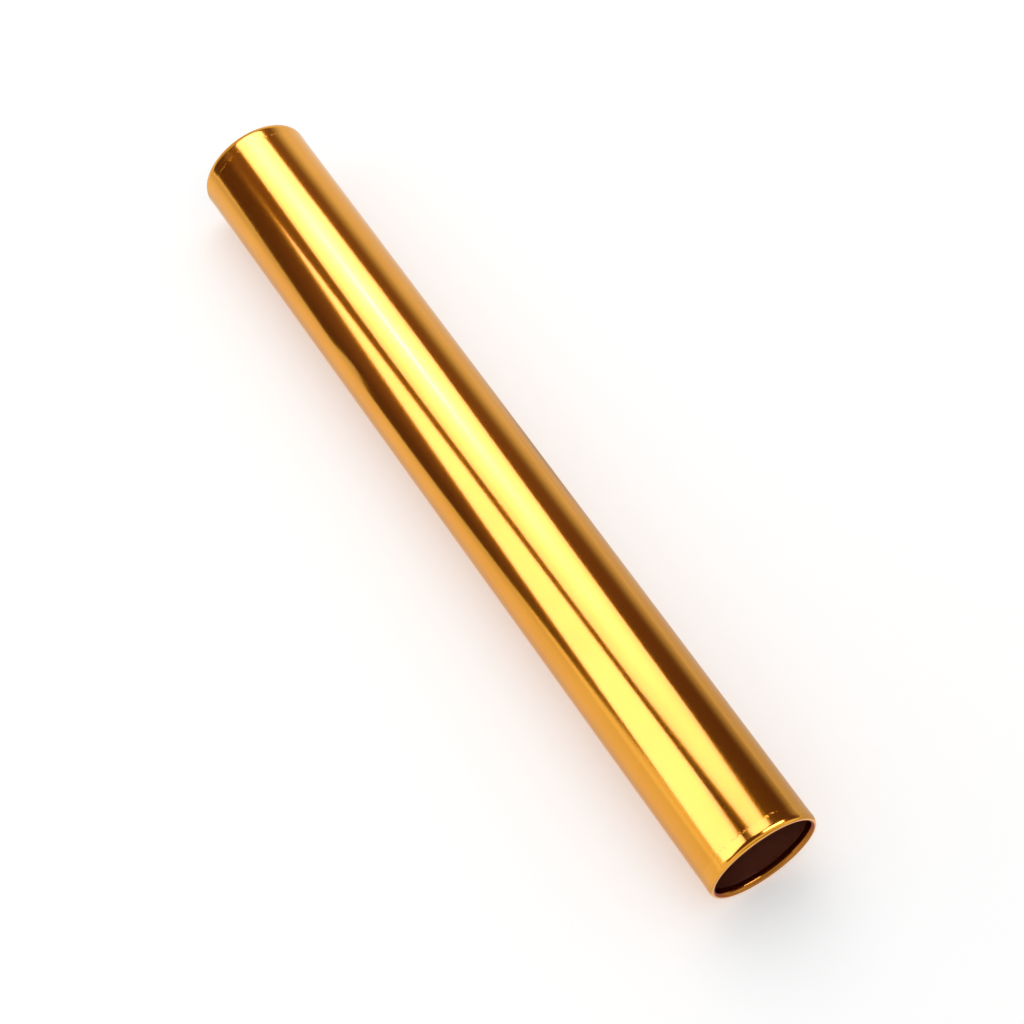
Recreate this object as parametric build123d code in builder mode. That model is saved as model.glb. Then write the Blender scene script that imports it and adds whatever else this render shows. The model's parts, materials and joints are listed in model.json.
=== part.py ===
from build123d import *

import math
import os

# An athletics relay baton: one seamless aluminium tube, open from end to end, with all sizes in millimetres.
# It lies along X, with Z up and the origin at the middle of its axis, and its two ends are alike.
# The wall is rolled inward and back on itself at each end, so that the hand never meets its cut edge.
# The die spreads the last few millimetres a little, and leaves a fine ring round the tube where it stops.

# Tube
LENGTH = 300.0
OUTSIDE_DIAMETER = 38.0
WALL = 1.0

# Rolled lip at each end, whose nose is two quarter ovals with a narrow flat between them
MOUTH_DIAMETER = 33.5
CROWN_DIAMETER = 36.0
CROWN_FLAT = 0.4
OUTER_ROLL_LENGTH = 1.9
INNER_ROLL_LENGTH = 1.6
CURL_LENGTH = 2.8
CROWN_THICKNESS = 1.2
CUT_EDGE_CHAMFER = 0.2

# Band that the die spreads, and the ring that it leaves
BAND_LENGTH = 4.7
BAND_SPREAD = 0.06
RING_WIDTH = 0.4
RING_DEPTH = 0.02

# Places along the tube
END = LENGTH / 2
RING_PLACE = END - BAND_LENGTH
OUTER_ROLL_PLACE = END - OUTER_ROLL_LENGTH
INNER_ROLL_PLACE = END - INNER_ROLL_LENGTH
CUT_EDGE_PLACE = END - CURL_LENGTH

# Radii, from the outside inward
WIDEST_RADIUS = OUTSIDE_DIAMETER / 2 + BAND_SPREAD
OUTSIDE_RADIUS = OUTSIDE_DIAMETER / 2
CROWN_OUTSIDE = CROWN_DIAMETER / 2 + CROWN_FLAT / 2
HOLLOW_OUTSIDE = WIDEST_RADIUS - WALL
BORE_RADIUS = OUTSIDE_RADIUS - WALL
CROWN_INSIDE = CROWN_DIAMETER / 2 - CROWN_FLAT / 2
MOUTH_RADIUS = MOUTH_DIAMETER / 2
CURL_BACK = MOUTH_RADIUS + WALL

# The narrow hollow inside the curl, and the round tool that cuts the ring
HOLLOW_END_RADIUS = (HOLLOW_OUTSIDE - CURL_BACK) / 2
HOLLOW_END_PLACE = END - CROWN_THICKNESS - HOLLOW_END_RADIUS
RING_TOOL_RADIUS = (RING_WIDTH / 2) ** 2 / (2 * RING_DEPTH) + RING_DEPTH / 2

# The band runs into the outer oval without a step, this many degrees behind the oval's widest place
OUTER_ROLL_DEPTH = WIDEST_RADIUS - CROWN_OUTSIDE
BAND_RUN = OUTER_ROLL_PLACE - RING_PLACE
BAND_RISE = (OUTSIDE_RADIUS - CROWN_OUTSIDE) * OUTER_ROLL_LENGTH / OUTER_ROLL_DEPTH
REACH_OF_OVAL = math.acos(OUTER_ROLL_LENGTH / math.hypot(BAND_RUN, BAND_RISE))
MEETING_ANGLE = math.degrees(math.atan2(BAND_RUN, BAND_RISE) - REACH_OF_OVAL)


# The wall's section: X runs along the tube and Y outward from its axis, in the sketch's own plane
with BuildSketch(Plane.XY) as wall_section:
    with BuildLine():
        outer_roll = EllipticalCenterArc(
            (OUTER_ROLL_PLACE, CROWN_OUTSIDE),
            OUTER_ROLL_LENGTH,
            OUTER_ROLL_DEPTH,
            start_angle=0,
            arc_size=90 + MEETING_ANGLE,
        )
        inner_roll = EllipticalCenterArc(
            (INNER_ROLL_PLACE, CROWN_INSIDE),
            INNER_ROLL_LENGTH,
            CROWN_INSIDE - MOUTH_RADIUS,
            start_angle=270,
            arc_size=90,
        )
        Line(outer_roll @ 0, inner_roll @ 1)

        # The outside, then back along the bore to the hollow inside the curl
        Polyline(
            outer_roll @ 1,
            (RING_PLACE, OUTSIDE_RADIUS),
            (0, OUTSIDE_RADIUS),
            (0, BORE_RADIUS),
            (RING_PLACE, BORE_RADIUS),
            (HOLLOW_END_PLACE, HOLLOW_OUTSIDE),
        )
        CenterArc((HOLLOW_END_PLACE, CURL_BACK + HOLLOW_END_RADIUS), HOLLOW_END_RADIUS, 90, -180)

        # Round the cut edge, which faces down the tube, and out along the mouth
        Polyline(
            (HOLLOW_END_PLACE, CURL_BACK),
            (CUT_EDGE_PLACE + CUT_EDGE_CHAMFER, CURL_BACK),
            (CUT_EDGE_PLACE, CURL_BACK - CUT_EDGE_CHAMFER),
            (CUT_EDGE_PLACE, MOUTH_RADIUS + CUT_EDGE_CHAMFER),
            (CUT_EDGE_PLACE + CUT_EDGE_CHAMFER, MOUTH_RADIUS),
            inner_roll @ 0,
        )
    make_face()

    # The die's ring is a shallow round-bottomed score
    with Locations((RING_PLACE, OUTSIDE_RADIUS + RING_TOOL_RADIUS - RING_DEPTH)):
        Circle(RING_TOOL_RADIUS, mode=Mode.SUBTRACT)

    # The other end is the same
    mirror(about=Plane.YZ)

with BuildPart() as baton_tube:
    add(wall_section.sketch)
    revolve(axis=Axis.X)

baton_tube.part.label = "baton_tube"

os.makedirs("parts", exist_ok=True)
export_step(baton_tube.part, "parts/baton_tube.step")

# What a maker would check first: the mass, the longest reach and the narrowest way through
ALUMINIUM_DENSITY = 2.70e-3
tube_mass = baton_tube.part.volume * ALUMINIUM_DENSITY
tube_size = baton_tube.part.bounding_box().size
print(f"baton_tube: {tube_mass:.1f} g in aluminium, {len(baton_tube.part.faces())} faces")
print(f"length {tube_size.X:.2f}, widest {tube_size.Y:.2f}, mouth {MOUTH_DIAMETER:.2f}")
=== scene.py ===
import json
import math

import bmesh
import bpy
from mathutils import Euler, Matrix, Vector


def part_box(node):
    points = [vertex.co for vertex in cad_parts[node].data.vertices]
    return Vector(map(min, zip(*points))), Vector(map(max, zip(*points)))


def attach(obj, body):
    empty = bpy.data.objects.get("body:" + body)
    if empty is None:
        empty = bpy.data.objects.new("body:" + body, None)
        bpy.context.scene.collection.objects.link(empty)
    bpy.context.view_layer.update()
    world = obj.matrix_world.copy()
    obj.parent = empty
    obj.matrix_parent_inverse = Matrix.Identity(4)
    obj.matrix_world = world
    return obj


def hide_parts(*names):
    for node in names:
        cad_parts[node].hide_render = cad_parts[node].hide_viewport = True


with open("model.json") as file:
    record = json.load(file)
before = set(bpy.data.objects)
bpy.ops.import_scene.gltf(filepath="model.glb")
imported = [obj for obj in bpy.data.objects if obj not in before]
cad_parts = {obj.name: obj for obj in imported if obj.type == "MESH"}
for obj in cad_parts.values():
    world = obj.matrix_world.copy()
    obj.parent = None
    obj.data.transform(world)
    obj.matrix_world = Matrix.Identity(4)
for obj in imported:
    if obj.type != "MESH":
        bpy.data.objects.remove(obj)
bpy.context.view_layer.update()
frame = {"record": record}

# A gold-anodised relay baton on a white table: one bright tube, rolled inward at both ends.
# Everything is in metres, with X along the tube, Z up and the origin at the middle of its axis.

MM = 0.001

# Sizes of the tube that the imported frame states
mounts = {mount["name"]: mount for mount in frame["record"]["mounts"]}
TUBE_RADIUS = mounts["hand_grip"]["dims"]["r_mm"] * MM
RING_START = mounts["hand_grip"]["dims"]["length_mm"] / 2 * MM
MOUTH_RADIUS = mounts["through_bore"]["dims"]["r_mm"] * MM
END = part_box("baton_tube")[1].x
TABLE_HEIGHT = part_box("baton_tube")[0].z
WIDEST_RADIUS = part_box("baton_tube")[1].z

# The rest of its section, as the maker's drawing has it, but with a shallower ring
WALL = 1.0 * MM
RING_WIDTH = 0.4 * MM
RING_DEPTH = 0.0035 * MM
RING_PLACE = RING_START + RING_WIDTH / 2
CROWN_OUTSIDE = 18.2 * MM
CROWN_INSIDE = 17.8 * MM
OUTER_ROLL_PLACE = END - 1.9 * MM
INNER_ROLL_PLACE = END - 1.6 * MM
HOLLOW_END = END - 1.2 * MM
CUT_EDGE_PLACE = END - 2.8 * MM
CUT_EDGE_RADIUS = 0.2 * MM
BORE_RADIUS = TUBE_RADIUS - WALL
HOLLOW_OUTSIDE = WIDEST_RADIUS - WALL
CURL_BACK = MOUTH_RADIUS + WALL

# How finely the tube is turned
FACES_ROUND = 256
ROW_SPACING = 5.0 * MM
BAND_ROW_SPACING = 0.5 * MM
BEND_STEP = math.radians(6)
FEWEST_CORNER_STEPS = 4
RING_STEPS = 12
SAME_PLACE = 0.001 * MM

# The stretches of the section, from the outside in, each with a finish of its own
FINISHED_PARTS = ("wall", "end", "mouth", "bore")

# A face between two stretches takes the finish that comes first here
FINISH_ORDER = ("end", "mouth", "wall", "bore")

WHITE = (1, 1, 1, 1)

# The camera, which looks down on the tube's +X end
CAMERA_LENS = 92.18
CAMERA_AZIMUTH = math.radians(57.6)
CAMERA_ELEVATION = math.radians(59.52)
CAMERA_DISTANCE = 0.8261
CAMERA_AIM_RIGHT = 0.0070
CAMERA_AIM_UP = -0.0083


def make_camera():
    turn = Euler((math.pi / 2 - CAMERA_ELEVATION, 0, CAMERA_AZIMUTH))
    right, up, back = turn.to_matrix().col
    camera = bpy.data.objects.new("camera", bpy.data.cameras.new("camera"))
    bpy.context.scene.collection.objects.link(camera)
    camera.data.lens = CAMERA_LENS
    camera.rotation_euler = turn
    camera.location = right * CAMERA_AIM_RIGHT + up * CAMERA_AIM_UP + back * CAMERA_DISTANCE
    bpy.context.scene.camera = camera


# Helpers for node trees

def place(tree, kind, inputs=None, **settings):
    """Adds a node, sets its own settings, and feeds its inputs from sockets or plain values."""
    node = tree.nodes.new(kind)
    for name, value in settings.items():
        setattr(node, name, value)
    for name, value in (inputs or {}).items():
        if isinstance(value, bpy.types.NodeSocket):
            tree.links.new(value, node.inputs[name])
        else:
            node.inputs[name].default_value = value
    return node


def sum_up(tree, operation, first, second, clamp=False):
    """One step of arithmetic on masks and values."""
    step = place(tree, "ShaderNodeMath", {0: first, 1: second}, operation=operation, use_clamp=clamp)
    return step.outputs[0]


def ramp_between(tree, value, low, high, out_low=0.0, out_high=1.0):
    """Eases from out_low to out_high as the value goes from low to high."""
    names = ("Value", "From Min", "From Max", "To Min", "To Max")
    inputs = dict(zip(names, (value, low, high, out_low, out_high)))
    return place(tree, "ShaderNodeMapRange", inputs, interpolation_type="SMOOTHSTEP").outputs["Result"]


def blend(tree, share, first, second):
    """Mixes two colours by a share of the second. The node keeps its colour inputs in places 6 and 7."""
    inputs = {"Factor": share, 6: first, 7: second}
    return place(tree, "ShaderNodeMix", inputs, data_type="RGBA").outputs[2]


def emit(tree, colour, strength=1.0):
    """Light of one colour, as a shader."""
    return place(tree, "ShaderNodeEmission", {"Color": colour, "Strength": strength}).outputs[0]


def own_place(tree):
    """Where a point lies on its own piece, in metres."""
    return place(tree, "ShaderNodeTexCoord").outputs["Object"]


def own_axes(tree):
    """The same place as separate X, Y and Z values."""
    return place(tree, "ShaderNodeSeparateXYZ", {0: own_place(tree)}).outputs


def noise(tree, where, size, detail):
    """Soft noise with features of about the size given, from 0 to 1."""
    scale = sum_up(tree, "DIVIDE", 1.0, size)
    inputs = {"Vector": where, "Scale": scale, "Detail": detail}
    return place(tree, "ShaderNodeTexNoise", inputs).outputs["Fac"]


def new_group(name, inputs, outputs):
    """An empty shader node group. Inputs are (name, kind, default) and outputs (name, kind)."""
    group = bpy.data.node_groups.new(name, "ShaderNodeTree")
    for label, kind, default in inputs:
        socket = group.interface.new_socket(name=label, in_out="INPUT", socket_type="NodeSocket" + kind)
        socket.default_value = default
    for label, kind in outputs:
        group.interface.new_socket(name=label, in_out="OUTPUT", socket_type="NodeSocket" + kind)
    return group, group.nodes.new("NodeGroupInput").outputs, group.nodes.new("NodeGroupOutput").inputs


def use_group(tree, group, inputs):
    """Places a group in a material with that material's own values."""
    return place(tree, "ShaderNodeGroup", inputs, node_tree=group).outputs


# Effects that the tube's finishes share

# Most of a noise lies between these two values
NOISE_SPAN = (0.3, 0.7)

# The values of the patches' noise between which burrs set in, and how far from its middle a burr reaches
BURR_PATCH_SPAN = (0.36, 0.44)
BURR_SPAN = (0.10, 0.42)


def make_oxide_grain():
    """The fine grain that shows through clear anodising: a height."""
    tree, given, result = new_group(
        "oxide_grain",
        [("Grain Size", "Float", 0.4 * MM), ("Detail", "Float", 2.0)],
        [("Height", "Float")],
    )
    grain = noise(tree, own_place(tree), given["Grain Size"], given["Detail"])
    tree.links.new(grain, result["Height"])
    return tree


def make_draw_lines():
    """Faint lines along the tube from drawing it through a die, then polishing it: a height."""
    tree, given, result = new_group(
        "draw_lines",
        [("Line Width", "Float", 0.5 * MM), ("Line Length", "Float", 60 * MM)],
        [("Height", "Float")],
    )
    across = sum_up(tree, "DIVIDE", 1.0, given["Line Width"])
    along = sum_up(tree, "DIVIDE", 1.0, given["Line Length"])
    scale = place(tree, "ShaderNodeCombineXYZ", {"X": along, "Y": across, "Z": across}).outputs[0]
    stretched = place(tree, "ShaderNodeVectorMath", {0: own_place(tree), 1: scale}, operation="MULTIPLY")
    tree.links.new(noise(tree, stretched.outputs[0], 1.0, 2.0), result["Height"])
    return tree


def make_dye_clouds():
    """Broad, faint clouds where the dye took a little deeper: a mask."""
    tree, given, result = new_group(
        "dye_clouds", [("Cloud Size", "Float", 20 * MM)], [("Depth", "Float")]
    )
    clouds = noise(tree, own_place(tree), given["Cloud Size"], 3.0)
    tree.links.new(ramp_between(tree, clouds, *NOISE_SPAN), result["Depth"])
    return tree


def make_ring_burrs():
    """Small round burrs along each ring, where the die dragged the metal: a height, in broken patches."""
    tree, given, result = new_group(
        "ring_burrs",
        [("Reach", "Float", 0.4 * MM), ("Burr Spacing", "Float", 0.5 * MM), ("Patch Size", "Float", 5 * MM)],
        [("Height", "Float")],
    )
    along = own_axes(tree)["X"]
    from_middle = place(tree, "ShaderNodeMath", {0: along}, operation="ABSOLUTE").outputs[0]
    from_ring = sum_up(tree, "SUBTRACT", from_middle, RING_PLACE)
    off_ring = place(tree, "ShaderNodeMath", {0: from_ring}, operation="ABSOLUTE").outputs[0]
    near_ring = sum_up(tree, "SUBTRACT", 1.0, sum_up(tree, "DIVIDE", off_ring, given["Reach"]), clamp=True)

    patches = noise(tree, own_place(tree), given["Patch Size"], 1.0)
    dragged = ramp_between(tree, patches, *BURR_PATCH_SPAN)
    burr_scale = sum_up(tree, "DIVIDE", 1.0, given["Burr Spacing"])
    cells = {"Vector": own_place(tree), "Scale": burr_scale}
    from_burr = place(tree, "ShaderNodeTexVoronoi", cells, feature="F1").outputs["Distance"]
    burrs = ramp_between(tree, from_burr, *BURR_SPAN, 1.0, 0.0)
    height = sum_up(tree, "MULTIPLY", sum_up(tree, "MULTIPLY", burrs, dragged), near_ring)
    tree.links.new(height, result["Height"])
    return tree


# Finishes. The gold is the dye in the oxide over bright metal, and the coat is the clear sealed oxide itself.

GOLD = (0.88, 0.375, 0.016, 1)
DEEP_GOLD = (0.85, 0.350, 0.012, 1)
# The mouth's gold is the wall's gold darkened: painted shade for the shaded table near the tube's end, which
# the lip's inside reflects
SHADED_MOUTH_GOLD = (0.42, 0.155, 0.012, 1)
BORE_BROWN = (0.53, 0.225, 0.14, 1)
GLANCING_TINT = (1.0, 0.8, 0.5, 1)
# A lower glancing tint for the lip's inside and the bore: it dims their grazing sheen, which on the lip is
# painted shade for the dark things that it reflects
DIMMED_GLANCING_TINT = (0.45, 0.22, 0.06, 1)
OXIDE_IOR = 1.40
BURR_HEIGHT = 0.05 * MM

# The roughness of each finish, from its smoothest grain to its roughest
WALL_ROUGHNESS = (0.11, 0.14)
END_ROUGHNESS = (0.11, 0.16)
MOUTH_ROUGHNESS = (0.08, 0.11)
BORE_ROUGHNESS = (0.34, 0.40)


def start_finish(name):
    """A new material and its main shader: metal under sealed oxide."""
    finish = bpy.data.materials.new(name)
    finish.use_nodes = True
    shader = finish.node_tree.nodes["Principled BSDF"]
    shader.inputs["Metallic"].default_value = 1.0
    shader.inputs["Specular Tint"].default_value = GLANCING_TINT
    shader.inputs["Coat Weight"].default_value = 1.0
    shader.inputs["Coat IOR"].default_value = OXIDE_IOR
    return finish, finish.node_tree, shader


def start_grain(tree, shader, groups, size, detail, roughness):
    """Gives a finish its grain, which its roughness follows, and returns the grain's height."""
    height = use_group(tree, groups["grain"], {"Grain Size": size, "Detail": detail})["Height"]
    tree.links.new(ramp_between(tree, height, *NOISE_SPAN, *roughness), shader.inputs["Roughness"])
    return height


def bump(tree, height, distance, under=None):
    """Turns a height into a normal. Distance is how far the height's full range stands up, in metres."""
    inputs = {"Height": height, "Distance": distance}
    if under is not None:
        inputs["Normal"] = under
    return place(tree, "ShaderNodeBump", inputs).outputs["Normal"]


def drag(tree, groups, under):
    """Adds the burrs on the rings on top of a finish's own grain."""
    sizes_of_burrs = {"Reach": 0.5 * MM, "Burr Spacing": 0.6 * MM, "Patch Size": 4.5 * MM}
    burrs = use_group(tree, groups["burrs"], sizes_of_burrs)
    return bump(tree, burrs["Height"], BURR_HEIGHT, under=under)


def make_bright_gold(groups):
    """The outside of the tube: polished, dyed and sealed."""
    finish, tree, shader = start_finish("bright_gold_wall")
    grain = start_grain(tree, shader, groups, 0.45 * MM, 2.0, WALL_ROUGHNESS)
    lines = use_group(tree, groups["lines"], {"Line Width": 0.5 * MM, "Line Length": 60 * MM})
    clouds = use_group(tree, groups["clouds"], {"Cloud Size": 22 * MM})
    tree.links.new(blend(tree, clouds["Depth"], GOLD, DEEP_GOLD), shader.inputs["Base Color"])
    drawn = bump(tree, lines["Height"], 0.0005 * MM)
    grained = bump(tree, grain, 0.012 * MM, under=drawn)
    tree.links.new(drag(tree, groups, under=grained), shader.inputs["Normal"])
    shader.inputs["Coat Roughness"].default_value = 0.04
    return finish


def make_rolled_gold(groups):
    """The rolled band and the lip's outside: the same gold, a little duller and turned round by the die."""
    finish, tree, shader = start_finish("rolled_gold_end")
    grain = start_grain(tree, shader, groups, 0.3 * MM, 3.0, END_ROUGHNESS)
    shader.inputs["Base Color"].default_value = GOLD
    grained = bump(tree, grain, 0.004 * MM)
    tree.links.new(drag(tree, groups, under=grained), shader.inputs["Normal"])
    shader.inputs["Coat Roughness"].default_value = 0.08
    return finish


def make_mouth_gold(groups):
    """The lip's inside: pressed smooth by the die and thinly sealed, with its gold darkened as painted shade
    for the shaded table near the tube's end that it reflects.
    """
    finish, tree, shader = start_finish("shaded_gold_mouth")
    grain = start_grain(tree, shader, groups, 0.3 * MM, 3.0, MOUTH_ROUGHNESS)
    shader.inputs["Base Color"].default_value = SHADED_MOUTH_GOLD
    tree.links.new(bump(tree, grain, 0.006 * MM), shader.inputs["Normal"])
    shader.inputs["Specular Tint"].default_value = DIMMED_GLANCING_TINT
    shader.inputs["Coat Weight"].default_value = 0.40
    shader.inputs["Coat Roughness"].default_value = 0.08
    return finish


def make_bore_gold(groups):
    """The bore: as drawn, deeply dyed but never polished."""
    finish, tree, shader = start_finish("satin_gold_bore")
    grain = start_grain(tree, shader, groups, 0.5 * MM, 3.0, BORE_ROUGHNESS)
    shader.inputs["Base Color"].default_value = BORE_BROWN
    tree.links.new(bump(tree, grain, 0.002 * MM), shader.inputs["Normal"])
    shader.inputs["Specular Tint"].default_value = DIMMED_GLANCING_TINT
    shader.inputs["Coat Weight"].default_value = 0.35
    shader.inputs["Coat Roughness"].default_value = 0.2
    return finish


# The tube's section

def straight(start, stop, spacing=ROW_SPACING):
    """Rows of a straight run, both ends included: (place along, radius, facing along, facing outward)."""
    run = Vector(stop) - Vector(start)
    steps = max(1, math.ceil(run.length / spacing))
    facing = Vector((-run.y, run.x)).normalized()
    return [(*(Vector(start) + run * step / steps), *facing) for step in range(steps + 1)]


def corner(before, point, after, radius):
    """Rows of the arc that rounds a corner of the section, tangent to the runs before and after it."""
    way_in = (Vector(point) - Vector(before)).normalized()
    way_out = (Vector(after) - Vector(point)).normalized()
    turn = way_in.angle_signed(way_out)
    setback = radius * math.tan(abs(turn) / 2)
    start = Vector(point) - way_in * setback
    facing = Vector((-way_in.y, way_in.x))
    outside = 1 if turn > 0 else -1
    middle = start - facing * radius * outside
    steps = max(FEWEST_CORNER_STEPS, math.ceil(abs(turn) / BEND_STEP))
    rows = []
    for step in range(steps + 1):
        angle = -turn * step / steps
        turned = Vector((
            facing.x * math.cos(angle) - facing.y * math.sin(angle),
            facing.x * math.sin(angle) + facing.y * math.cos(angle),
        ))
        rows.append((*(middle + turned * radius * outside), *turned))
    return rows


def oval(middle, half_length, half_depth, start, stop):
    """Rows of an oval arc. Its angles are in radians from its outermost place towards the tube's +X end."""
    steps = math.ceil((stop - start) / BEND_STEP)
    rows = []
    for step in range(steps + 1):
        angle = start + (stop - start) * step / steps
        along, out = math.sin(angle), math.cos(angle)
        facing = Vector((along / half_length, out / half_depth)).normalized()
        rows.append((middle[0] + half_length * along, middle[1] + half_depth * out, *facing))
    return rows


def ring():
    """Rows across the fine ring that the die leaves round the wall's outside."""
    rows = []
    for step in range(1, RING_STEPS):
        phase = 2 * math.pi * step / RING_STEPS
        depth = RING_DEPTH * (1 - math.cos(phase)) / 2
        slope = -RING_DEPTH * math.pi / RING_WIDTH * math.sin(phase)
        facing = Vector((-slope, 1)).normalized()
        rows.append((RING_START + RING_WIDTH * step / RING_STEPS, TUBE_RADIUS - depth, *facing))
    return rows


def half_section():
    """Rows from the middle of the outside, round the +X lip and its curl, to the middle of the bore."""
    outer_length, outer_depth = END - OUTER_ROLL_PLACE, WIDEST_RADIUS - CROWN_OUTSIDE
    inner_length, inner_depth = END - INNER_ROLL_PLACE, CROWN_INSIDE - MOUTH_RADIUS
    run = OUTER_ROLL_PLACE - RING_PLACE
    rise = (TUBE_RADIUS - CROWN_OUTSIDE) * outer_length / outer_depth
    meeting = math.atan2(run, rise) - math.acos(outer_length / math.hypot(run, rise))
    outer_roll = oval((OUTER_ROLL_PLACE, CROWN_OUTSIDE), outer_length, outer_depth, -meeting, math.pi / 2)
    inner_roll = oval((INNER_ROLL_PLACE, CROWN_INSIDE), inner_length, inner_depth, math.pi / 2, math.pi)

    band_end = outer_roll[0][:2]
    band_slope = (band_end[1] - TUBE_RADIUS) / (band_end[0] - RING_PLACE)
    band_start = (RING_START + RING_WIDTH, TUBE_RADIUS + band_slope * RING_WIDTH / 2)
    mouth = (INNER_ROLL_PLACE, MOUTH_RADIUS)
    front_corner = (CUT_EDGE_PLACE, MOUTH_RADIUS)
    back_corner = (CUT_EDGE_PLACE, CURL_BACK)
    hollow_back = (HOLLOW_END, CURL_BACK)
    hollow_front = (HOLLOW_END, HOLLOW_OUTSIDE)
    bore_start = (RING_PLACE, BORE_RADIUS)
    hollow_end_radius = (HOLLOW_OUTSIDE - CURL_BACK) / 2

    rows = {"wall": straight((0, TUBE_RADIUS), (RING_START, TUBE_RADIUS))}
    rows["end"] = ring() + straight(band_start, band_end, BAND_ROW_SPACING) + outer_roll
    rows["mouth"] = inner_roll
    rows["bore"] = (
        corner(mouth, front_corner, back_corner, CUT_EDGE_RADIUS)
        + corner(front_corner, back_corner, hollow_back, CUT_EDGE_RADIUS)
        + corner(back_corner, hollow_back, hollow_front, hollow_end_radius)
        + corner(hollow_back, hollow_front, bore_start, hollow_end_radius)
        + straight(bore_start, (0, BORE_RADIUS))
    )
    return rows


def make_tube(finishes):
    """Turns the section about X. The second half of it is the first half seen in a mirror."""
    half = half_section()
    outside_in = [(row, part) for part in FINISHED_PARTS for row in half[part]]
    mirrored = [((-row[0], row[1], -row[2], row[3]), part) for row, part in reversed(outside_in)]
    section = outside_in + mirrored

    rows, parts = [], []
    for row, part in section:
        here = Vector(row[:2])
        if rows and (here - Vector(rows[-1][:2])).length < SAME_PLACE:
            continue
        rows.append(row)
        parts.append(part)
    if (Vector(rows[0][:2]) - Vector(rows[-1][:2])).length < SAME_PLACE:
        rows.pop()
        parts.pop()

    places, facings = [], []
    for along, radius, face_along, face_out in rows:
        for step in range(FACES_ROUND):
            angle = 2 * math.pi * step / FACES_ROUND
            across, up = math.cos(angle), math.sin(angle)
            places.append((along, radius * across, radius * up))
            facings.append((face_along, face_out * across, face_out * up))

    faces, face_finishes = [], []
    for row in range(len(rows)):
        ahead = (row + 1) % len(rows)
        for step in range(FACES_ROUND):
            beside = (step + 1) % FACES_ROUND
            faces.append((
                row * FACES_ROUND + step,
                row * FACES_ROUND + beside,
                ahead * FACES_ROUND + beside,
                ahead * FACES_ROUND + step,
            ))
            pair = {parts[row], parts[ahead]}
            wins = next(part for part in FINISH_ORDER if part in pair)
            face_finishes.append(FINISHED_PARTS.index(wins))

    mesh = bpy.data.meshes.new("baton_tube_turned")
    mesh.from_pydata(places, [], faces)
    for finish in finishes:
        mesh.materials.append(finish)
    mesh.polygons.foreach_set("material_index", face_finishes)
    mesh.polygons.foreach_set("use_smooth", [True] * len(mesh.polygons))
    mesh.update()
    mesh.normals_split_custom_set_from_vertices(facings)
    tube = bpy.data.objects.new("gold_baton_tube", mesh)
    bpy.context.scene.collection.objects.link(tube)
    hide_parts("baton_tube")
    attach(tube, "root")
    return tube


# The studio. Only the table shows to the camera: the rest is seen in the tube's polish.

RAY_KINDS = ("camera", "diffuse", "glossy", "transmission", "shadow", "volume_scatter")


def show_only_to(piece, kinds):
    for kind in RAY_KINDS:
        setattr(piece, "visible_" + kind, kind in kinds)


def stage_piece(name, corners, material, seen_by=("glossy",)):
    """A flat stage piece with one face, seen only by the kinds of ray named."""
    mesh = bpy.data.meshes.new(name)
    mesh.from_pydata(corners, [], [tuple(range(len(corners)))])
    mesh.materials.append(material)
    piece = bpy.data.objects.new(name, mesh)
    bpy.context.scene.collection.objects.link(piece)
    show_only_to(piece, seen_by)
    return piece


def stage_material(name):
    material = bpy.data.materials.new(name)
    material.use_nodes = True
    tree = material.node_tree
    tree.nodes.clear()
    return material, tree, place(tree, "ShaderNodeOutputMaterial").inputs["Surface"]


def seen_directly(tree):
    """One for rays from the camera, the polish or a clear piece, and zero for those from a matt surface."""
    path = place(tree, "ShaderNodeLightPath").outputs
    seen = sum_up(tree, "MAXIMUM", path["Is Camera Ray"], path["Is Glossy Ray"])
    return sum_up(tree, "MAXIMUM", seen, path["Is Transmission Ray"])


def direction(azimuth, elevation):
    """The unit vector at an azimuth from +X towards +Y and an elevation above the table, in degrees."""
    turn, rise = math.radians(azimuth), math.radians(elevation)
    return Vector((math.cos(rise) * math.cos(turn), math.cos(rise) * math.sin(turn), math.sin(rise)))


def stand_up(piece, middle, facing):
    """Puts a stage piece drawn in its own XY plane at a place, with its +Z side facing a direction."""
    piece.location = middle
    piece.rotation_mode = "QUATERNION"
    piece.rotation_quaternion = facing.to_track_quat("Z", "Y")


# The octagonal softbox overhead, with a bulb that shows through its cloth
OCTABOX_SIDES = 8
OCTABOX_DISTANCE = 0.70
OCTABOX_AZIMUTH = 169.0
OCTABOX_ELEVATION = 64.2
OCTABOX_FACE_AZIMUTH = 161.4
OCTABOX_FACE_ELEVATION = 40.2
OCTABOX_APOTHEM = 0.358
OCTABOX_SPIN = math.radians(3.4)
OCTABOX_EDGE_LIGHT = 2.3
OCTABOX_MIDDLE_LIGHT = 3.6
OCTABOX_MIDDLE_PLACE = (-0.01, -0.13, 0)
OCTABOX_MIDDLE_SIZE = (0.20, 0.16, 1)
OCTABOX_BULB_LIGHT = 5.2
OCTABOX_BULB_PLACE = (0.005, -0.105, 0)
OCTABOX_BULB_SIZE = (0.065, 0.028, 1)
OCTABOX_BULB_TURN = math.radians(62.4)

# The square softbox on the -Y side, given by its near lower corner
BANK_CORNER = (-0.398, -0.324, 0.316)
BANK_FACE_AZIMUTH = -146.1
BANK_FACE_ELEVATION = 28.6
BANK_SPIN = math.radians(19.2)
BANK_WIDTH = 0.72
BANK_HEIGHT = 0.495
BANK_LIGHT = 2.6
CLOTH_COLOUR = (1.0, 0.97, 1.9, 1)

# The lamps that light the set from the two softboxes, in watts
OCTABOX_POWER = 1.2
BANK_POWER = 0.7


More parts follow.
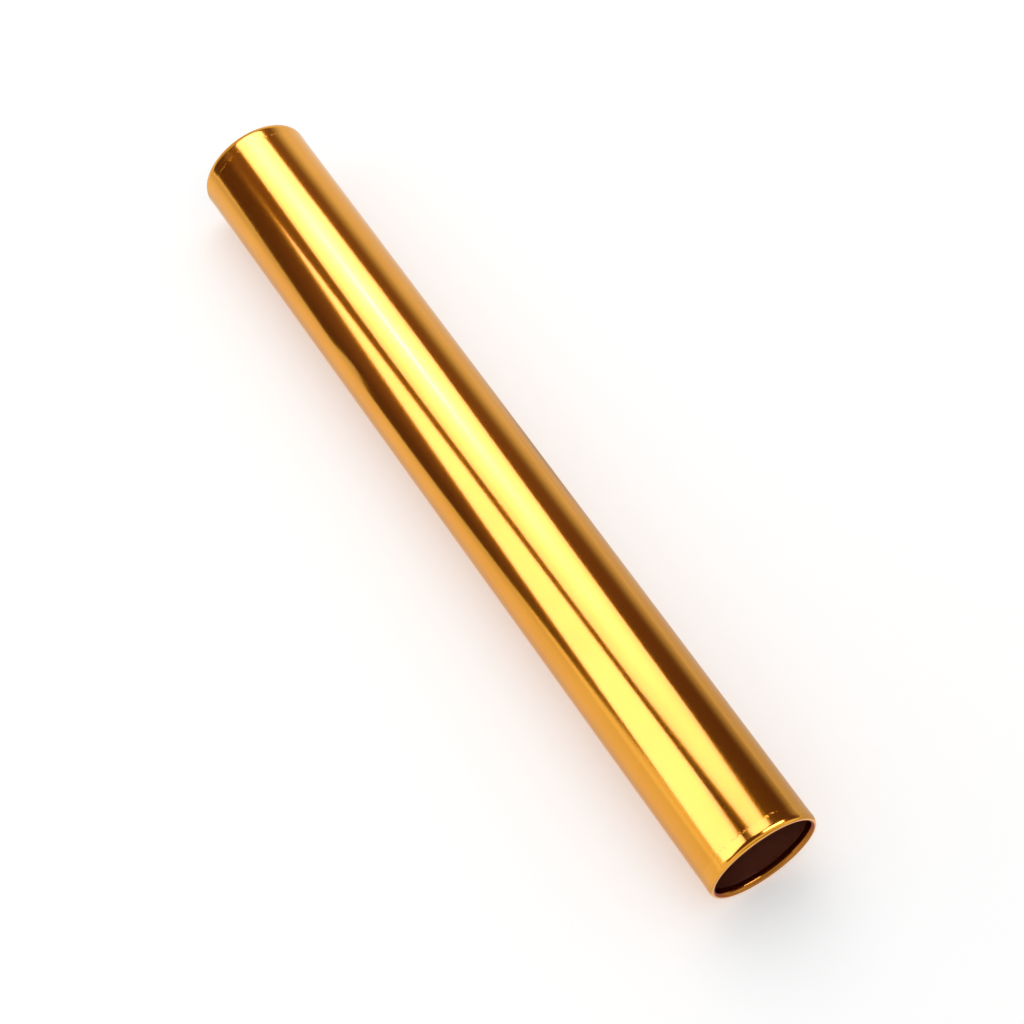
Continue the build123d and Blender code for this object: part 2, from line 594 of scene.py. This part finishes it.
def glow(tree, middle, size, turn, strength):
    """A soft oval glow on a panel, falling off from its middle over its size."""
    inputs = {"Vector": own_place(tree), "Location": middle, "Rotation": (0, 0, turn), "Scale": size}
    share = place(tree, "ShaderNodeMapping", inputs, vector_type="TEXTURE").outputs[0]
    squared = place(tree, "ShaderNodeVectorMath", {0: share, 1: share}, operation="DOT_PRODUCT")
    falloff = sum_up(tree, "POWER", math.e, sum_up(tree, "MULTIPLY", squared.outputs["Value"], -1.0))
    return sum_up(tree, "MULTIPLY", falloff, strength)


def make_octabox():
    material, tree, surface = stage_material("octabox_cloth")
    middle = glow(tree, OCTABOX_MIDDLE_PLACE, OCTABOX_MIDDLE_SIZE, OCTABOX_BULB_TURN, OCTABOX_MIDDLE_LIGHT)
    bulb = glow(tree, OCTABOX_BULB_PLACE, OCTABOX_BULB_SIZE, OCTABOX_BULB_TURN, OCTABOX_BULB_LIGHT)
    light = sum_up(tree, "ADD", sum_up(tree, "ADD", middle, bulb), OCTABOX_EDGE_LIGHT)
    tree.links.new(front_light(tree, light), surface)
    reach = OCTABOX_APOTHEM / math.cos(math.pi / OCTABOX_SIDES)
    angles = [OCTABOX_SPIN + step * 2 * math.pi / OCTABOX_SIDES for step in range(OCTABOX_SIDES)]
    corners = [(reach * math.cos(angle), reach * math.sin(angle), 0) for angle in angles]
    box = stage_piece("octabox", corners, material)
    middle = direction(OCTABOX_AZIMUTH, OCTABOX_ELEVATION) * OCTABOX_DISTANCE
    stand_up(box, middle, -direction(OCTABOX_FACE_AZIMUTH, OCTABOX_FACE_ELEVATION))
    make_lamp("octabox_lamp", box, (0, 0, 0), 2 * OCTABOX_APOTHEM, OCTABOX_POWER)


def make_bank():
    material, tree, surface = stage_material("bank_cloth")
    tree.links.new(front_light(tree, BANK_LIGHT), surface)
    across = Vector((-math.cos(BANK_SPIN), -math.sin(BANK_SPIN), 0)) * BANK_WIDTH
    up = Vector((-math.sin(BANK_SPIN), math.cos(BANK_SPIN), 0)) * BANK_HEIGHT
    corners = [Vector((0, 0, 0)), up, across + up, across]
    box = stage_piece("bank", corners, material)
    stand_up(box, BANK_CORNER, -direction(BANK_FACE_AZIMUTH, BANK_FACE_ELEVATION))
    make_lamp("bank_lamp", box, (across + up) / 2, BANK_WIDTH, BANK_POWER)


def make_lamp(name, panel, middle, width, power):
    """A round soft lamp in a softbox's place. The softbox's cloth is what the polish shows."""
    lamp = bpy.data.lights.new(name, "AREA")
    lamp.shape = "DISK"
    lamp.size = width
    lamp.energy = power
    fitting = bpy.data.objects.new(name, lamp)
    bpy.context.scene.collection.objects.link(fitting)
    fitting.visible_camera = False
    fitting.visible_glossy = False
    away = panel.rotation_quaternion.to_matrix()
    fitting.location = panel.location + away @ Vector(middle)
    fitting.rotation_mode = "QUATERNION"
    fitting.rotation_quaternion = (-away.col[2]).to_track_quat("Z", "Y")


def front_light(tree, strength):
    """Light from the front of a panel only."""
    behind = place(tree, "ShaderNodeNewGeometry").outputs["Backfacing"]
    front = sum_up(tree, "SUBTRACT", 1.0, behind)
    light = sum_up(tree, "MULTIPLY", front, strength)
    return emit(tree, CLOTH_COLOUR, light)


# The dark room overhead and behind
ROOM_RADIUS = 2.5
ROOM_SEGMENTS = 48
ROOM_RINGS = 24
ROOM_HEM = -0.5
ROOM_COLOUR = (0.105, 0.053, 0.055, 1)
ROOM_LIT_COLOUR = (0.20, 0.11, 0.10, 1)
ROOM_WHITE = (0.95, 0.95, 0.95, 1)

# Where along X, and how far up, the room is a little lit behind the -X end. Its lower edge tilts with Y.
LIT_BEHIND_X = (-1.25, -0.60)
LIT_BEHIND_RISE = (0.77, 1.27)
LIT_BEHIND_TILT = 0.1

# The part that is lit beyond the square softbox: where it sets in going up, and its top, side and -X limits
LIT_BANK_RISE = (-0.3, 0.9)
LIT_BANK_TOP = (1.2, 1.6)
LIT_BANK_SIDE = (-1.4, -0.7)
LIT_BANK_END = (-1.45, -1.30)

# The white opening at the +X end, the roof that shades its upper part, and the paler wall at the -X end
OPENING_X = (0.60, 0.90)
ROOF_X = (1.40, 1.50)
ROOF_RISE = (0.90, 1.10)
ROOF_SHADE = 0.6
PALE_END_X = (-1.95, -1.70)
PALE_END_SHARE = 0.65


def lit_parts(tree, where):
    """A mask of the parts of the dark room that are a little lit."""
    behind = ramp_between(tree, where["X"], *LIT_BEHIND_X, 1.0, 0.0)
    tilted = sum_up(tree, "ADD", where["Z"], sum_up(tree, "MULTIPLY", where["Y"], LIT_BEHIND_TILT))
    behind_and_high = sum_up(tree, "MULTIPLY", behind, ramp_between(tree, tilted, *LIT_BEHIND_RISE))
    beyond_bank = ramp_between(tree, where["Z"], *LIT_BANK_RISE)
    for limit in (
        ramp_between(tree, where["Z"], *LIT_BANK_TOP, 1.0, 0.0),
        ramp_between(tree, where["Y"], *LIT_BANK_SIDE, 1.0, 0.0),
        ramp_between(tree, where["X"], *LIT_BANK_END),
    ):
        beyond_bank = sum_up(tree, "MULTIPLY", beyond_bank, limit)
    return sum_up(tree, "MAXIMUM", behind_and_high, beyond_bank)


def white_parts(tree, where):
    """A mask of the room's white opening and its paler wall."""
    opening = ramp_between(tree, where["X"], *OPENING_X)
    over_end = ramp_between(tree, where["X"], *ROOF_X, 0.0, ROOF_SHADE)
    roof = sum_up(tree, "MULTIPLY", over_end, ramp_between(tree, where["Z"], *ROOF_RISE))
    opening = sum_up(tree, "MULTIPLY", opening, sum_up(tree, "SUBTRACT", 1.0, roof))
    pale_end = ramp_between(tree, where["X"], *PALE_END_X, PALE_END_SHARE, 0.0)
    return sum_up(tree, "MAXIMUM", opening, pale_end)


def make_dark_room():
    """A dark tent over the set, which only the tube's polish sees."""
    material, tree, surface = stage_material("dark_room")
    where = own_axes(tree)
    dark = blend(tree, lit_parts(tree, where), ROOM_COLOUR, ROOM_LIT_COLOUR)
    colour = blend(tree, white_parts(tree, where), dark, ROOM_WHITE)
    tree.links.new(emit(tree, colour), surface)
    shape = bmesh.new()
    bmesh.ops.create_uvsphere(shape, u_segments=ROOM_SEGMENTS, v_segments=ROOM_RINGS, radius=ROOM_RADIUS)
    below = [corner for corner in shape.verts if corner.co.z < ROOM_HEM]
    bmesh.ops.delete(shape, geom=below, context="VERTS")
    mesh = bpy.data.meshes.new("dark_room")
    shape.to_mesh(mesh)
    shape.free()
    mesh.materials.append(material)
    room = bpy.data.objects.new("dark_room", mesh)
    bpy.context.scene.collection.objects.link(room)
    show_only_to(room, ("glossy",))


# The white sweep on the +Y side. Its light fades upward from a line that slopes down towards +X.
SWEEP_PLACE = 0.5
SWEEP_HALF_LENGTH = 1.6
SWEEP_HEIGHT = 0.7
SWEEP_LINE_SLOPE = -0.316
SWEEP_LINE_AT_MIDDLE = 0.059
SWEEP_FADE = 0.145
SWEEP_DIMS_OVER_X = (-0.6, 0.0)
SWEEP_LIGHT = (0.92, 0.62)


def make_sweep():
    material, tree, surface = stage_material("white_sweep")
    where = own_axes(tree)
    slope = {0: where["X"], 1: SWEEP_LINE_SLOPE, 2: SWEEP_LINE_AT_MIDDLE}
    line = place(tree, "ShaderNodeMath", slope, operation="MULTIPLY_ADD").outputs[0]
    above = sum_up(tree, "SUBTRACT", where["Z"], line)
    white = ramp_between(tree, above, -SWEEP_FADE, SWEEP_FADE, 1.0, 0.0)
    clear = place(tree, "ShaderNodeBsdfTransparent").outputs[0]
    light = emit(tree, WHITE, ramp_between(tree, where["X"], *SWEEP_DIMS_OVER_X, *SWEEP_LIGHT))
    tree.links.new(place(tree, "ShaderNodeMixShader", {0: white, 1: clear, 2: light}).outputs[0], surface)
    corners = [
        (-SWEEP_HALF_LENGTH, SWEEP_PLACE, TABLE_HEIGHT), (SWEEP_HALF_LENGTH, SWEEP_PLACE, TABLE_HEIGHT),
        (SWEEP_HALF_LENGTH, SWEEP_PLACE, SWEEP_HEIGHT), (-SWEEP_HALF_LENGTH, SWEEP_PLACE, SWEEP_HEIGHT),
    ]
    stage_piece("white_sweep", corners, material)


# The dark patch on the table on the -Y side, seen only in the polish, and the white wall beyond its
# right-hand edge
DARK_PATCH_CORNERS = (
    (-1.60, -1.35), (-0.392, -0.365), (-0.287, -0.246), (-0.209, -0.166), (-0.159, -0.123),
    (-0.131, -0.105), (-0.119, -0.100), (-0.131, -0.131), (-0.173, -0.217), (-0.116, -0.128),
    (-0.092, -0.094), (-0.074, -0.094), (-0.064, -0.097), (-0.056, -0.102), (-0.049, -0.110),
    (-0.041, -0.143), (-0.042, -0.198), (-0.059, -0.268), (-0.147, -0.511), (-0.760, -2.20),
    (-1.60, -2.20),
)
DARK_PATCH_LIFT = 0.0005
WALL_PLACE = -1.0
WALL_CORNERS = (
    (1.4, 0), (1.4, 0.32), (-0.18, 0.32), (-0.219, 0.171), (-0.237, 0.153), (-0.259, 0.110), (-0.281, 0.065),
    (-0.304, 0.023), (-0.328, 0),
)


def make_dark_patch():
    # A dark sheet lying just over the table, seen only by the polish
    material, tree, surface = stage_material("dark_patch")
    tree.links.new(emit(tree, ROOM_COLOUR), surface)
    corners = [(along, across, TABLE_HEIGHT + DARK_PATCH_LIFT) for along, across in DARK_PATCH_CORNERS]
    stage_piece("dark_patch", corners, material)


def make_side_wall():
    material, tree, surface = stage_material("side_wall")
    tree.links.new(emit(tree, ROOM_WHITE), surface)
    corners = [(along, WALL_PLACE, TABLE_HEIGHT + height) for along, height in WALL_CORNERS]
    stage_piece("side_wall", corners, material)


# The small strip light beside the camera, seen only in the lips, and its dimmer spill towards +X
STRIP_NEAR = 0.08
STRIP_EDGE = 0.235
SPILL_FAR = 0.33
STRIP_LOW = (0.61, 0.51)
STRIP_HIGH = (0.125, 0.788)
STRIP_LIGHT = 9.0
STRIP_COLOUR = (1.0, 0.97, 1.3, 1)
SPILL_LIGHT = 0.45


def make_strip(name, start, stop, strength):
    """A glowing panel between two places along X, from the strip light's low edge to its high one."""
    material, tree, surface = stage_material(name)
    tree.links.new(emit(tree, STRIP_COLOUR, strength), surface)
    corners = [(start, *STRIP_LOW), (stop, *STRIP_LOW), (stop, *STRIP_HIGH), (start, *STRIP_HIGH)]
    stage_piece(name, corners, material)


# The table: white paper that keeps the tube's shadow, lifted to white for the camera and the tube's polish
TABLE_RADIUS = 2.4
TABLE_SIDES = 96
PAPER = (0.80, 0.80, 0.80, 1)
PAPER_LIFT = 0.30

# Painted shade: thin grey sheets on the table on both sides, seen only by the polish, which darken the table
# that the tube reflects, mostly where the tube's own shadows fall
SHADE_FILTER_HALF_LENGTH = 1.2
SHADE_FILTER_LIFT = 0.0003
SWEEP_SIDE_SHADE_SPAN = (0.036, 0.48)
BANK_SIDE_SHADE_SPAN = (-0.18, -0.021)

# What the +Y painted shade passes over a stretch of X, and a soft painted shadow patch on it
SWEEP_SIDE_SHADE_X = (-0.30, 0.18)
SWEEP_SIDE_SHADE_PASSES = (0.86, 0.58)
# A soft painted shadow patch on the +Y table, standing for a shadow that the tube reflects
SHADOW_PATCH_PLACE = (-0.018, 0.045, 0)
SHADOW_PATCH_SIZE = (0.030, 0.016, 1)
SHADOW_PATCH_SHADE = 0.22

# What the -Y painted shade passes over a stretch of Y, and the extra painted shade far out, which is weaker
# on the +X half
BANK_SIDE_SHADE_Y = (-0.040, -0.024)
BANK_SIDE_SHADE_PASSES = (0.90, 0.74)
FAR_OUT_Y = (-0.11, -0.05)
FAR_OUT_SHADE = 0.20
HALVES_MEET_X = (-0.04, 0.04)
RIGHT_HALF_SHARE = 0.25


def sweep_side_painted_shade(tree, where):
    """How much of the table the polish sees through the +Y painted shade: less towards +X, and less still at
    one soft painted shadow patch.
    """
    passed = ramp_between(tree, where["X"], *SWEEP_SIDE_SHADE_X, *SWEEP_SIDE_SHADE_PASSES)
    return sum_up(tree, "SUBTRACT", passed, glow(tree, SHADOW_PATCH_PLACE, SHADOW_PATCH_SIZE, 0, SHADOW_PATCH_SHADE))


def bank_side_painted_shade(tree, where):
    """How much of the table the polish sees through the -Y painted shade: less beside the tube, and less far
    out on the -X half.
    """
    passed = ramp_between(tree, where["Y"], *BANK_SIDE_SHADE_Y, *BANK_SIDE_SHADE_PASSES)
    far_out = ramp_between(tree, where["Y"], *FAR_OUT_Y, FAR_OUT_SHADE, 0.0)
    left_half = ramp_between(tree, where["X"], *HALVES_MEET_X, 1.0, RIGHT_HALF_SHARE)
    return sum_up(tree, "SUBTRACT", passed, sum_up(tree, "MULTIPLY", far_out, left_half))


def make_painted_shade_filter(name, span, passes):
    # A see-through grey sheet seen only by the polish, which paints shade onto the table that the tube
    # reflects
    material, tree, surface = stage_material(name)
    passed = passes(tree, own_axes(tree))
    tree.links.new(place(tree, "ShaderNodeBsdfTransparent", {"Color": passed}).outputs[0], surface)
    height = TABLE_HEIGHT + SHADE_FILTER_LIFT
    corners = [
        (-SHADE_FILTER_HALF_LENGTH, span[0], height), (SHADE_FILTER_HALF_LENGTH, span[0], height),
        (SHADE_FILTER_HALF_LENGTH, span[1], height), (-SHADE_FILTER_HALF_LENGTH, span[1], height),
    ]
    stage_piece(name, corners, material)


def make_table():
    material, tree, surface = stage_material("white_table")
    lift = emit(tree, WHITE, sum_up(tree, "MULTIPLY", seen_directly(tree), PAPER_LIFT))
    paper = place(tree, "ShaderNodeBsdfDiffuse", {"Color": PAPER}).outputs[0]
    tree.links.new(place(tree, "ShaderNodeAddShader", {0: paper, 1: lift}).outputs[0], surface)
    angles = [2 * math.pi * step / TABLE_SIDES for step in range(TABLE_SIDES)]
    corners = [
        (TABLE_RADIUS * math.cos(angle), TABLE_RADIUS * math.sin(angle), TABLE_HEIGHT) for angle in angles
    ]
    stage_piece("white_table", corners, material, RAY_KINDS)


AMBIENT_LIGHT = 0.72


def make_surroundings():
    """White all round for the camera and the polish, and a low even light for everything else."""
    world = bpy.data.worlds.new("white_surroundings")
    world.use_nodes = True
    tree = world.node_tree
    strength = ramp_between(tree, seen_directly(tree), 0.0, 1.0, AMBIENT_LIGHT, 1.0)
    background = tree.nodes["Background"]
    background.inputs["Color"].default_value = WHITE
    tree.links.new(strength, background.inputs["Strength"])
    bpy.context.scene.world = world
    bpy.context.scene.view_settings.view_transform = "Standard"


make_camera()
effects = {
    "grain": make_oxide_grain(),
    "lines": make_draw_lines(),
    "clouds": make_dye_clouds(),
    "burrs": make_ring_burrs(),
}
finishes = [make(effects) for make in (make_bright_gold, make_rolled_gold, make_mouth_gold, make_bore_gold)]
make_tube(finishes)
make_octabox()
make_bank()
make_dark_room()
make_sweep()
make_dark_patch()
make_side_wall()
make_strip("strip_light", STRIP_NEAR, STRIP_EDGE, STRIP_LIGHT)
make_strip("strip_spill", STRIP_EDGE, SPILL_FAR, SPILL_LIGHT)
make_painted_shade_filter("sweep_side_painted_shade", SWEEP_SIDE_SHADE_SPAN, sweep_side_painted_shade)
make_painted_shade_filter("bank_side_painted_shade", BANK_SIDE_SHADE_SPAN, bank_side_painted_shade)
make_table()
make_surroundings()
